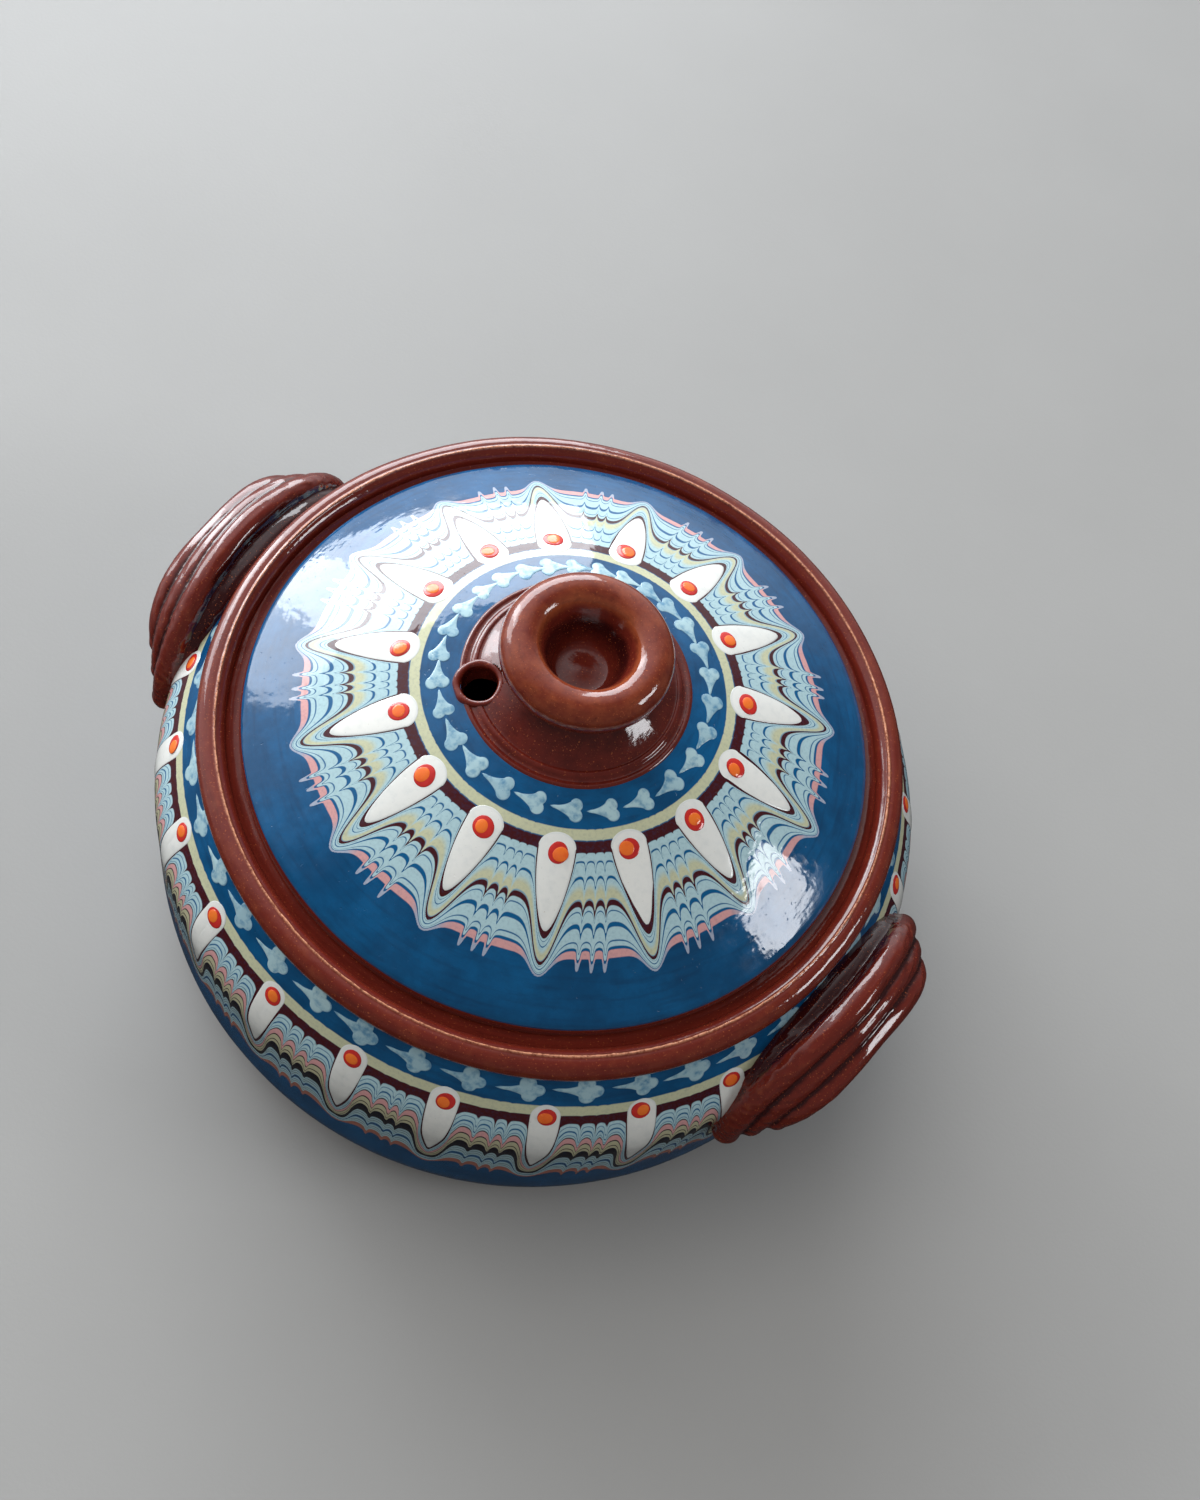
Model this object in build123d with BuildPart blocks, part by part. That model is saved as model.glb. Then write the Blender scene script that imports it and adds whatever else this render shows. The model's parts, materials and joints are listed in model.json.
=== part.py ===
from build123d import *
from math import asin, cos, degrees, radians, sin, tan
import os

# A round-bellied earthenware casserole with a domed lid, two ribbed lug handles and trailed-slip
# decoration. Millimetres, +Z up the pot's axis, origin at the middle of the foot's resting plane.
# The handles lie along +X and -X.

# ---- driving dimensions ----
lid_radius = 100.0
lid_rise = 33.0  # height of the dome above the lid's edge
lid_thickness = 6.5
lid_seat_width = 7.0  # flat ring under the lid's edge
lid_edge_round = 1.2
lid_play = 2.0  # radial room between the lid's edge and the gallery
seat_gap = 0.1  # the lid rests on the high spots of the glaze

rim_height = 110.0  # level of the lid's edge
rim_crest = 0.5  # the rim stands this far above it
rim_roll = 4.6  # radius of the rolled rim
rim_roll_distance = 108.5  # from the pot's axis to the middle of the roll
seat_drop = 5.0  # the gallery's seat lies this far below the lid's edge
gallery_radius = 91.0  # mouth of the pot inside the seat
gallery_depth = 6.0  # clay under the seat, at the mouth

belly_radius = 126.2
belly_low = 34.0  # the belly is straight between these two heights
belly_high = 70.0
heel_radius = 52.0  # curve from the belly in to the foot
shoulder_radius = 29.0  # curve from the belly in to the neck
neck_lean = 34.0  # degrees that the neck leans in, above the shoulder
neck_top = 102.0  # the neck meets the underside of the rim here
wall_thickness = 8.0
inner_neck_top = 92.0  # the neck's inside ends here, below the gallery
floor_thickness = 9.0
floor_round = 10.0
foot_round = 2.5
foot_ring_width = 14.0
foot_recess = 2.0

slip_thickness = 0.6  # blue ground coat
drop_thickness = 0.4  # cream and pale blue drops trailed on the coat
wall_slip_low = 6.0  # the coat on the wall reaches from here
wall_slip_high = 101.3  # to here, under the rim
lid_slip_edge = 1.4  # bare clay outside the coat, at the lid's edge

collar_radius = 35.5  # the knob's foot
collar_step = 0.7  # height of the collar's outer edge
collar_ridges = (33.4, 30.2)  # distances of two turned ridges from the axis
ridge_radius = 0.7
collar_rise = 8.0  # from the collar's outer edge to the foot of the neck
collar_swell = (26.0, 4.2)  # the collar passes here: distance, height above its outer edge
neck_radius = 17.6
neck_below_lip = 1.5  # the neck is narrowest this far below the lip's underside
knob_radius = 26.1
knob_lip = 6.5  # radius of the knob's rounded lip
lip_start = -115.0  # the lip's arc, in degrees: from the neck
lip_sweep = 255.0  # over the crest and down into the dish
knob_height = 21.5  # crest of the lip above the top of the dome
dish_depth = 17.5
dish_flat = 8.5  # radius of the flat in the bottom of the dish
dish_side_pull = 4.0  # how firmly the dish's side follows the lip
dish_flat_pull = 3.0  # and the flat

vent_radius = 5.5
vent_ring_radius = 7.9
vent_distance = 29.8  # from the lid's axis
vent_angle = 224.0
vent_round = 1.1
vent_stand = 3.4  # the ring stands this far above the dome
vent_ring_length = 20.0  # before it is cut to sit on the dome

rib_radius = 4.6
rib_tip_radius = 4.85
root_radius = 6.5
root_tip_radius = 6.0
# Each rib, from the rim outwards, is symmetric about its middle, and passes through three
# places: (degrees from the middle, distance from the pot's axis, height).
rib_places = (
    ((21.8, 129.0, 64.0), (15.0, 126.0, 92.5), (0.0, 124.8, 101.0)),
    ((19.0, 131.0, 70.0), (13.5, 131.2, 89.0), (0.0, 130.0, 96.5)),
    ((16.2, 134.0, 76.0), (12.0, 136.4, 85.5), (0.0, 135.3, 91.5)),
)
# A thicker root of clay runs behind the ribs, and joins them to the neck.
root_places = ((21.0, 125.0, 66.0), (14.5, 121.0, 88.0), (0.0, 117.5, 94.5))
# The handles were pressed on by hand: degrees forward of the X axis, and span against the ribs
# above.
handle_right_turn = -5.3
handle_right_span = 0.94
handle_left_turn = -3.6
handle_left_span = 1.0

lid_petals = 15
lid_petal_start = 12.8  # degrees from +X to the first petal
lid_petal_head = 52.5  # from the lid's axis to the middle of the petal's round head
lid_petal_tip = 75.5
lid_dot_distance = 54.0
lid_hearts = 28
lid_heart_start = 9.9
lid_heart_crowd = 9.5  # degrees that the hearts stray from even spacing
lid_heart_wide = 312.0  # they are furthest apart in this direction
lid_heart_distance = 41.8

wall_petals = 25
wall_petal_start = 3.3
wall_petal_head = 88.8  # height of the middle of the petal's round head
wall_petal_tip = 58.5
wall_dot_height = 88.8
wall_hearts = 42
wall_heart_start = 2.3
wall_heart_height = 97.6

lid_petal_half_width = 5.0
wall_petal_half_width = 4.5
petal_fullness = 0.85  # 0 tapers a petal's sides evenly, 1 keeps them wide up to its tip
red_dot_radius = 3.1
red_dot_height = 0.6
orange_dot_radius = 1.9
orange_dot_height = 0.4
dot_slope = 0.6  # a dot's flat top is this much smaller in radius than its foot
crumb = 2.0  # what a handle leaves of a drop is kept only above this volume
dot_sink = 0.5  # a dot is made this much deeper, then cut to the surface under it
orange_shift = 0.5  # the orange drop sits a little to one side of the red one
heart_lobe = 1.75
heart_spread = 1.575  # from the heart's axis to the middle of each lobe
heart_tail = 0.35  # radius of the tail's end
heart_half_length = 3.2

seat_height = rim_height - seat_drop
dome_top = rim_height + lid_rise
knob_top = dome_top + knob_height
dish_height = knob_top - dish_depth
beyond = 200.0  # longer than the pot is wide or tall


# ---- shared shapes ----
def wall_outline(proud, low, high):
    """Draws the outside of the wall between two heights, `proud` outside the clay, and returns
    its lowest and highest points. Its arcs share their middles with the clay's own."""
    heel = JernArc(
        start=(belly_radius + proud, belly_low),
        tangent=(0, -1),
        radius=heel_radius + proud,
        arc_size=-degrees(asin((belly_low - low) / (heel_radius + proud))),
    )
    Line((belly_radius + proud, belly_low), (belly_radius + proud, belly_high))
    shoulder = JernArc(
        start=(belly_radius + proud, belly_high),
        tangent=(0, 1),
        radius=shoulder_radius + proud,
        arc_size=neck_lean,
    )
    rise = high - (shoulder @ 1).Y
    top = (shoulder @ 1) + Vector(-rise * tan(radians(neck_lean)), rise)
    Line(shoulder @ 1, top)
    return heel @ 1, top


def wall_section(proud, low=0.0, high=neck_top):
    """Half of the pot's upright section, filled from the axis to the wall's outside."""
    with BuildSketch() as section:
        with BuildLine():
            bottom, top = wall_outline(proud, low, high)
            Polyline(bottom, (0, bottom.Y), (0, top.Y), top)
        make_face()
    return section.sketch


def wall_core(proud, low=0.0, high=neck_top):
    """The same section as a solid of revolution."""
    with BuildPart() as core:
        with BuildSketch(Plane.XZ):
            add(wall_section(proud, low, high))
        revolve(axis=Axis.Z)
    return core.part


def dome_core(proud, edge=lid_radius):
    """Everything under the dome's outside, `proud` above the clay, out to `edge`."""
    fall = lid_rise * (edge / lid_radius) ** 2
    with BuildPart() as core:
        with BuildSketch(Plane.XZ):
            with BuildLine():
                dome = Bezier(
                    (0, dome_top + proud),
                    (edge / 2, dome_top + proud),
                    (edge, dome_top + proud - fall),
                )
                Polyline(dome @ 1, (edge, seat_height), (0, seat_height), dome @ 0)
            make_face()
        revolve(axis=Axis.Z)
    return core.part


def on_dome(distance, proud=0.0, angle=0.0):
    """A plane on the dome, its Z axis along the surface's normal."""
    slope = 2 * lid_rise * distance / lid_radius**2
    height = dome_top + proud - lid_rise * (distance / lid_radius) ** 2
    out = Vector(cos(radians(angle)), sin(radians(angle)), 0)
    return Plane(
        origin=out * distance + Vector(0, 0, height),
        x_dir=(out.Y, -out.X, 0),
        z_dir=out * slope + Vector(0, 0, 1),
    )


def on_neck(height, proud=0.0):
    """A plane on the wall's leaning neck, its Z axis along the surface's normal."""
    lean = radians(neck_lean)
    normal = Vector(cos(lean), 0, sin(lean))
    middle = Vector(belly_radius - shoulder_radius, 0, belly_high)
    neck_start = middle + normal * (shoulder_radius + proud)
    rise = height - neck_start.Z
    return Plane(
        origin=neck_start + Vector(-rise * tan(lean), 0, rise), x_dir=(0, 1, 0), z_dir=normal
    )


def petal_outline(length, half_width):
    """A drop with a round head at the origin, drawn out to a point along X."""
    with BuildSketch() as outline:
        with BuildLine():
            side = Bezier(
                (0, half_width), (length * petal_fullness, half_width), (length, 0)
            )
            mirror(side, about=Plane.XZ)
            RadiusArc((0, half_width), (0, -half_width), -half_width)
        make_face()
    return outline.sketch


def heart_outline():
    """Two round lobes drawn out to one tail, which points along -Y."""
    with BuildSketch() as outline:
        for side in (-1, 1):
            with BuildSketch(mode=Mode.PRIVATE) as lobe:
                with Locations((side * heart_spread, heart_half_length - heart_lobe)):
                    Circle(heart_lobe)
                with Locations((0, -heart_half_length)):
                    Circle(heart_tail)
                make_hull()
            add(lobe.sketch)
    return outline.sketch


def trailed_on_dome(outline, distance):
    """The layer between the coat and the drops' tops, inside the outline, on the lid."""
    with BuildPart() as drop:
        with BuildSketch(Plane.XY.offset(rim_height)):
            with Locations((distance, 0)):
                add(outline)
        extrude(amount=lid_rise * 2)
        add(drop_dome, mode=Mode.INTERSECT)
        add(slip_dome, mode=Mode.SUBTRACT)
    return drop.part


def trailed_on_wall(outline, height):
    """The layer between the coat and the drops' tops, inside the outline, on the wall."""
    with BuildPart() as drop:
        with BuildSketch(Plane(origin=(0, 0, height), x_dir=(0, 0, -1), z_dir=(1, 0, 0))):
            add(outline)
        extrude(amount=beyond)
        add(drop_wall, mode=Mode.INTERSECT)
        add(slip_wall, mode=Mode.SUBTRACT)
    return drop.part


def bead(plane, radius, height, sink=0.0, aside=0.0):
    """A flat-topped round drop that stands this high out of the plane."""
    middle = Pos(aside, 0, (height - sink) / 2)
    return plane.location * middle * Cone(radius, radius - dot_slope, height + sink)


clay_wall = wall_core(0)
slip_wall = wall_core(slip_thickness, wall_slip_low, wall_slip_high)
drop_wall = wall_core(slip_thickness + drop_thickness, wall_slip_low)
clay_dome = dome_core(0)
slip_dome = dome_core(slip_thickness, lid_radius - lid_slip_edge)
drop_dome = dome_core(slip_thickness + drop_thickness)
petal_on_lid = petal_outline(lid_petal_tip - lid_petal_head, lid_petal_half_width)
petal_on_wall = petal_outline(wall_petal_head - wall_petal_tip, wall_petal_half_width)
heart = heart_outline()
vent_plane = on_dome(vent_distance, angle=vent_angle)


# ---- pot: thrown bowl, one turned section ----
with BuildPart() as pot_bowl:
    with BuildSketch(Plane.XZ) as section:
        add(wall_section(0))
        # rolled rim, and the slope from its crest down to the gallery's seat
        with Locations((rim_roll_distance, rim_height + rim_crest - rim_roll)):
            Circle(rim_roll)
        with BuildLine():
            Polyline(
                (rim_roll_distance, rim_height + rim_crest),
                (lid_radius + lid_play, seat_height),
                (gallery_radius, seat_height),
                (gallery_radius, seat_height - gallery_depth),
                (gallery_radius, inner_neck_top),
                (rim_roll_distance, inner_neck_top),
                close=True,
            )
        make_face()
        # cooking space
        with BuildSketch(mode=Mode.PRIVATE) as inside:
            with BuildLine():
                bottom, top = wall_outline(-wall_thickness, floor_thickness, inner_neck_top)
                Polyline(
                    bottom,
                    (0, floor_thickness),
                    (0, rim_height),
                    (gallery_radius, rim_height),
                    (gallery_radius, seat_height - gallery_depth),
                    top,
                )
            make_face()
            fillet(inside.vertices().group_by(Axis.Y)[0].sort_by(Axis.X)[-1], floor_round)
        add(inside.sketch, mode=Mode.SUBTRACT)
        # foot ring
        foot_reach = section.vertices().group_by(Axis.Y)[0].sort_by(Axis.X)[-1].X
        Rectangle(2 * (foot_reach - foot_ring_width), 2 * foot_recess, mode=Mode.SUBTRACT)
        fillet(section.vertices().group_by(Axis.Y)[0].sort_by(Axis.X)[-1], foot_round)
    revolve(axis=Axis.Z)

# ---- pot: handles, each three ribs side by side on a root, pressed on the clay wall ----
def rib(places, span, radius, tip_radius):
    """One round rib with a round tip at each end."""
    tip, shoulder, middle = (
        Vector(distance, 0, height).rotate(Axis.Z, angle * span)
        for angle, distance, height in places
    )
    far_shoulder, far_tip = (Vector(place.X, -place.Y, place.Z) for place in (shoulder, tip))
    with BuildPart() as one_rib:
        with BuildLine() as path:
            Spline(tip, shoulder, middle, far_shoulder, far_tip)
        with BuildSketch(Plane(origin=path.line @ 0, z_dir=path.line % 0)):
            Circle(radius)
        sweep(path=path.line)
        with Locations(path.line @ 0, path.line @ 1):
            Sphere(tip_radius)
    return one_rib.part


def handle(turn, span):
    """Three ribs and their root on the +X side of the pot, cut to sit on the clay wall."""
    with BuildPart() as whole:
        with Locations(Rotation(0, 0, turn)):
            add(rib(root_places, span, root_radius, root_tip_radius))
            for places in rib_places:
                add(rib(places, span, rib_radius, rib_tip_radius))
        add(clay_wall, mode=Mode.SUBTRACT)
    return whole.part


with BuildPart() as handle_right:
    add(handle(handle_right_turn, handle_right_span))

with BuildPart() as handle_left:
    mirror(handle(handle_left_turn, handle_left_span), about=Plane.YZ)

# ---- pot: blue coat and the drops trailed on it ----
with BuildPart() as pot_slip_coat:
    add(slip_wall)
    add(clay_wall, mode=Mode.SUBTRACT)
    add(handle_right.part, mode=Mode.SUBTRACT)
    add(handle_left.part, mode=Mode.SUBTRACT)

wall_petal = trailed_on_wall(petal_on_wall, wall_petal_head)
wall_heart = trailed_on_wall(heart, wall_heart_height)
wall_dot_plane = on_neck(wall_dot_height, slip_thickness + drop_thickness)
wall_red = bead(wall_dot_plane, red_dot_radius, red_dot_height, sink=dot_sink) - drop_wall
wall_orange = bead(
    wall_dot_plane.offset(red_dot_height), orange_dot_radius, orange_dot_height, aside=orange_shift
)


def round_wall(drop, count, start):
    """Copies of a drop round the wall, cut away where a handle is pressed over them."""
    handles = [handle_right.part, handle_left.part]
    ring = [place * drop - handles for place in PolarLocations(0, count, start_angle=start)]
    return [piece for one in ring if one for piece in one.solids() if piece.volume > crumb]


with BuildPart() as pot_cream_petals:
    add(round_wall(wall_petal, wall_petals, wall_petal_start))

with BuildPart() as pot_pale_hearts:
    add(round_wall(wall_heart, wall_hearts, wall_heart_start))

with BuildPart() as pot_red_dots:
    add(round_wall(wall_red, wall_petals, wall_petal_start))

with BuildPart() as pot_orange_dots:
    add(round_wall(wall_orange, wall_petals, wall_petal_start))

# ---- lid: dome with a vent hole ----
with BuildPart() as lid_dome:
    with BuildSketch(Plane.XZ) as section:
        with BuildLine():
            dome = Bezier((0, dome_top), (lid_radius / 2, dome_top), (lid_radius, rim_height))
            seat = Polyline(
                dome @ 1,
                (lid_radius, seat_height + seat_gap),
                (lid_radius - lid_seat_width, seat_height + seat_gap),
            )
            under_top = dome_top - lid_thickness
            under = Bezier(seat @ 1, ((seat @ 1).X / 2, under_top), (0, under_top))
            Line(under @ 1, dome @ 0)
        make_face()
        outer_edge = section.vertices().group_by(Axis.X)[-1]
        fillet(outer_edge, lid_edge_round)
    revolve(axis=Axis.Z)
    with BuildSketch(vent_plane):
        Circle(vent_radius)
    extrude(amount=beyond, both=True, mode=Mode.SUBTRACT)

# ---- lid: knob, with its collar, neck and dished top ----
with BuildPart() as lid_knob:
    with BuildSketch(Plane.XZ):
        with BuildLine():
            collar_height = on_dome(collar_radius).origin.Z
            lip_middle = (knob_radius - knob_lip, knob_top - knob_lip)
            lip = CenterArc(lip_middle, knob_lip, start_angle=lip_start, arc_size=lip_sweep)
            collar = Spline(
                (collar_radius, collar_height + collar_step),
                (collar_swell[0], collar_height + collar_swell[1]),
                (neck_radius, lip_middle[1] - knob_lip - neck_below_lip),
                lip @ 0,
                tangents=((-1, 0.35), (0.3, 1)),
            )
            dish = Bezier(
                lip @ 1,
                (lip @ 1) + (lip % 1) * dish_side_pull,
                (dish_flat + dish_flat_pull, dish_height),
                (dish_flat, dish_height),
            )
            Polyline(
                dish @ 1,
                (0, dish_height),
                (0, rim_height),
                (collar_radius, rim_height),
                collar @ 0,
            )
        make_face()
        for distance in collar_ridges:
            share = (collar_radius - distance) / (collar_radius - neck_radius)
            ridge_height = collar_height + collar_step + share * collar_rise
            with Locations((distance, ridge_height)):
                Circle(ridge_radius)
    revolve(axis=Axis.Z)
    add(clay_dome, mode=Mode.SUBTRACT)
    with BuildSketch(vent_plane):
        Circle(vent_ring_radius)
    extrude(amount=beyond, both=True, mode=Mode.SUBTRACT)

# ---- lid: rolled ring around the vent ----
with BuildPart() as lid_vent_ring:
    with BuildSketch(vent_plane.offset(vent_stand - vent_ring_length)):
        Circle(vent_ring_radius)
        Circle(vent_radius, mode=Mode.SUBTRACT)
    extrude(amount=vent_ring_length)
    ring_top = lid_vent_ring.faces().sort_by(Axis(vent_plane.origin, vent_plane.z_dir))[-1]
    fillet(ring_top.edges(), vent_round)
    add(clay_dome, mode=Mode.SUBTRACT)

# ---- lid: blue coat and the drops trailed on it ----
with BuildPart() as lid_slip_coat:
    add(slip_dome)
    add(clay_dome, mode=Mode.SUBTRACT)
    with BuildSketch():
        Circle(collar_radius)
    extrude(amount=beyond, mode=Mode.SUBTRACT)
    with BuildSketch(vent_plane):
        Circle(vent_ring_radius)
    extrude(amount=beyond, both=True, mode=Mode.SUBTRACT)

lid_petal = trailed_on_dome(petal_on_lid, lid_petal_head)
lid_heart = trailed_on_dome(heart, lid_heart_distance)
lid_dot_plane = on_dome(lid_dot_distance, slip_thickness + drop_thickness)
lid_red = bead(lid_dot_plane, red_dot_radius, red_dot_height, sink=dot_sink) - drop_dome
lid_orange = bead(
    lid_dot_plane.offset(red_dot_height), orange_dot_radius, orange_dot_height, aside=orange_shift
)

with BuildPart() as lid_cream_petals:
    with PolarLocations(0, lid_petals, start_angle=lid_petal_start):
        add(lid_petal)

with BuildPart() as lid_pale_hearts:
    for count in range(lid_hearts):
        even = lid_heart_start + 360 * count / lid_hearts
        stray = lid_heart_crowd * sin(radians(even - lid_heart_wide))
        with Locations(Rotation(0, 0, even + stray)):
            add(lid_heart)
    add(lid_vent_ring.part, mode=Mode.SUBTRACT)

with BuildPart() as lid_red_dots:
    with PolarLocations(0, lid_petals, start_angle=lid_petal_start):
        add(lid_red)

with BuildPart() as lid_orange_dots:
    with PolarLocations(0, lid_petals, start_angle=lid_petal_start):
        add(lid_orange)

pieces = {
    "pot_bowl": pot_bowl,
    "handle_right": handle_right,
    "handle_left": handle_left,
    "pot_slip_coat": pot_slip_coat,
    "pot_cream_petals": pot_cream_petals,
    "pot_pale_hearts": pot_pale_hearts,
    "pot_red_dots": pot_red_dots,
    "pot_orange_dots": pot_orange_dots,
    "lid_dome": lid_dome,
    "lid_knob": lid_knob,
    "lid_vent_ring": lid_vent_ring,
    "lid_slip_coat": lid_slip_coat,
    "lid_cream_petals": lid_cream_petals,
    "lid_pale_hearts": lid_pale_hearts,
    "lid_red_dots": lid_red_dots,
    "lid_orange_dots": lid_orange_dots,
}
os.makedirs("parts", exist_ok=True)
for name, piece in pieces.items():
    piece.part.label = name
    export_step(piece.part, f"parts/{name}.step")
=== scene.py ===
import json
from math import asin, cos, pi, radians, sin

import bpy
import numpy as np
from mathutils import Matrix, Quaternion, Vector, noise

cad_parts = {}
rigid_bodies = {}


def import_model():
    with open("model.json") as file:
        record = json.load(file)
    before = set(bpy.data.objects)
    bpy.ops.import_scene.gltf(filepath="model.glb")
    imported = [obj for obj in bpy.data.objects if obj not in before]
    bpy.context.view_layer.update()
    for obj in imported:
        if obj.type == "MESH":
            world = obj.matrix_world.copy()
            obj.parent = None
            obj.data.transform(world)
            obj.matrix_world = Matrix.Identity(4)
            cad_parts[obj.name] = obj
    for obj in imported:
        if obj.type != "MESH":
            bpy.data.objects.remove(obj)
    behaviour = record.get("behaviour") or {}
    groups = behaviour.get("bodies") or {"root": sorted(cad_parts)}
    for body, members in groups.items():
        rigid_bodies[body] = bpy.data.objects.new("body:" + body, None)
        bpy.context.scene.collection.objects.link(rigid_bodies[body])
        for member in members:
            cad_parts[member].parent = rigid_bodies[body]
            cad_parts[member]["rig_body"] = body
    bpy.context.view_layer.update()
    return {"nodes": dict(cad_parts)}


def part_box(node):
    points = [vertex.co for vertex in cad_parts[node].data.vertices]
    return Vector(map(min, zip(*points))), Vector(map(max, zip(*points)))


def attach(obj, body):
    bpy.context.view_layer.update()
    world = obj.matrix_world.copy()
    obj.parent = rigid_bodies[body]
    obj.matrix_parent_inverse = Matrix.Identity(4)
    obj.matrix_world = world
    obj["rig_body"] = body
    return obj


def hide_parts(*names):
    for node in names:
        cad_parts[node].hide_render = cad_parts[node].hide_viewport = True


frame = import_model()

# A slip-trailed earthenware casserole with a domed lid. Shapes are worked out in millimetres
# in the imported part's own frame: +Z up the pot's axis, foot on z = 0, handles along X.
MM = 0.001
chance = np.random.default_rng(11)

# ---- sizes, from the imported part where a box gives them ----
slip = 0.6  # thickness of the blue coat
dome_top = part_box("lid_dome")[1].z / MM + slip  # top of the lid's coat, if it met the axis
lid_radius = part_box("lid_dome")[1].x / MM
lid_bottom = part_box("lid_dome")[0].z / MM
lid_rise = 33.0  # the dome is a paraboloid this high
lid_hollow = 31.4  # height of the hollow under the lid
rim_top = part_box("pot_bowl")[1].z / MM
knob_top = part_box("lid_knob")[1].z / MM
belly_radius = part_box("pot_slip_coat")[1].y / MM

# The wall's outside, from the rim down: a straight neck, a round shoulder, a straight belly
# and a round heel. A depth is measured along it, starting under the rim.
neck_lean = radians(34.0)
neck_length = 18.6
shoulder_radius = 29.6
shoulder_height = 70.0  # of the shoulder's lower end, above the foot
belly_height = 36.0
heel_radius = 52.6
heel_height = shoulder_height - belly_height
coat_bottom = 6.0  # bare clay below this height
shoulder_end = neck_length + shoulder_radius * neck_lean
belly_end = shoulder_end + belly_height
coat_end = belly_end + heel_radius * asin((heel_height - coat_bottom) / heel_radius)
foot_end = belly_end + heel_radius * asin(heel_height / heel_radius)

# ---- colours, linear light ----
GROUND_BLUE = (0.001, 0.060, 0.160)
DEEP_BLUE = (0.002, 0.022, 0.065)
LINE_BLUE = (0.002, 0.095, 0.245)
PALE_BLUE = (0.42, 0.60, 0.64)
YELLOW_GREEN = (0.55, 0.56, 0.37)
MAROON = (0.055, 0.005, 0.007)
PINK = (0.66, 0.34, 0.33)
MAUVE = (0.36, 0.40, 0.50)
CREAM = (0.80, 0.80, 0.76)
RED = (0.62, 0.030, 0.022)
ORANGE = (0.88, 0.20, 0.025)
BEIGE = (0.50, 0.47, 0.30)
TERRACOTTA = (0.42, 0.15, 0.10)
BLACK_BROWN = (0.010, 0.005, 0.007)
# The darkest brown stands for pooled glaze, runs and specks, and also for painted shade behind the
# handles' ribs.
BROWN_THICK_AND_SHADE = (0.034, 0.004, 0.004)
BROWN = (0.140, 0.017, 0.010)
BROWN_THIN = (0.40, 0.100, 0.034)
BARE_CLAY = (0.72, 0.32, 0.18)


# ---- materials ----
class Recipe:
    """A material being written: one Principled shader and the nodes that feed it."""

    def __init__(self, name):
        self.material = bpy.data.materials.new(name)
        self.material.use_nodes = True
        self.tree = self.material.node_tree
        self.shader = self.tree.nodes["Principled BSDF"]

    def link(self, value, socket):
        if isinstance(value, bpy.types.NodeSocket):
            self.tree.links.new(value, socket)
        elif isinstance(value, tuple) and len(socket.default_value) == 4:
            socket.default_value = (*value, 1.0)
        else:
            socket.default_value = value

    def feed(self, **values):
        """Sets the shader's inputs; Base_Color stands for Base Color."""
        for name, value in values.items():
            self.link(value, self.shader.inputs[name.replace("_", " ")])

    def node(self, kind, inputs, output=0, **settings):
        made = self.tree.nodes.new("ShaderNode" + kind)
        for name, value in settings.items():
            setattr(made, name, value)
        for place, value in inputs.items():
            self.link(value, made.inputs[place])
        return made.outputs[output]

    def math(self, operation, a, b=0.0):
        return self.node("Math", {0: a, 1: b}, operation=operation)

    def between(self, value, low, high):
        """0 below low, 1 above high, smooth in between."""
        inputs = {"Value": value, "From Min": low, "From Max": high}
        return self.node("MapRange", inputs, interpolation_type="SMOOTHSTEP")

    def scaled(self, share, low, high):
        """A number that runs from low to high as the share runs from 0 to 1."""
        return self.node("MapRange", {"Value": share, "To Min": low, "To Max": high})

    def mix(self, share, low, high):
        """A colour between low and high; the node takes colours in its inputs 6 and 7."""
        inputs = {0: share, 6: low, 7: high}
        return self.node("Mix", inputs, output=2, data_type="RGBA")

    def given(self, name):
        """A number stored on the mesh."""
        return self.node("Attribute", {}, output=2, attribute_name=name)

    def noise(self, size, detail=3.0, rough=0.55, along_lay=False):
        """Noise from 0 to 1 with features of this size in millimetres, drawn out round the
        pot if it follows the lay of the turning."""
        if along_lay:
            place = self.node("Attribute", {}, output=1, attribute_name="lay")
            scale = 1 / size
        else:
            place = self.node("TexCoord", {}, output=3)
            scale = 1 / (size * MM)
        inputs = {"Vector": place, "Scale": scale, "Detail": detail, "Roughness": rough}
        return self.node("TexNoise", inputs)

    def bump(self, height, depth, under=None):
        """Tilts the surface by a height from 0 to 1, worth this depth in millimetres."""
        inputs = {"Height": height, "Distance": depth * MM}
        if under is not None:
            inputs["Normal"] = under
        return self.node("Bump", inputs)


def glaze_over(recipe, roughness=0.10, ripple=0.05, coat=0.35, shine=0.5):
    """The clear glaze: glossy, faintly rippled, with pinholes and turning marks."""
    swells = recipe.bump(recipe.noise(13.0, detail=3.0), ripple * 4)
    ripples = recipe.bump(recipe.noise(5.0, detail=2.0), ripple, swells)
    rings = recipe.bump(recipe.noise(2.2, detail=2.0, along_lay=True), ripple * 0.5, ripples)
    pinholes = recipe.between(recipe.noise(1.1, detail=1.0), 0.28, 0.20)
    pitted = recipe.bump(recipe.math("SUBTRACT", 1.0, pinholes), 0.05, rings)
    worn = recipe.between(recipe.noise(9.0, detail=4.0), 0.35, 0.75)
    recipe.feed(
        Roughness=recipe.scaled(worn, roughness, roughness + 0.1),
        Normal=pitted,
        Specular_IOR_Level=shine,
        Coat_Weight=coat,
        Coat_Roughness=0.03,
        Coat_Normal=pitted,
    )


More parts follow.
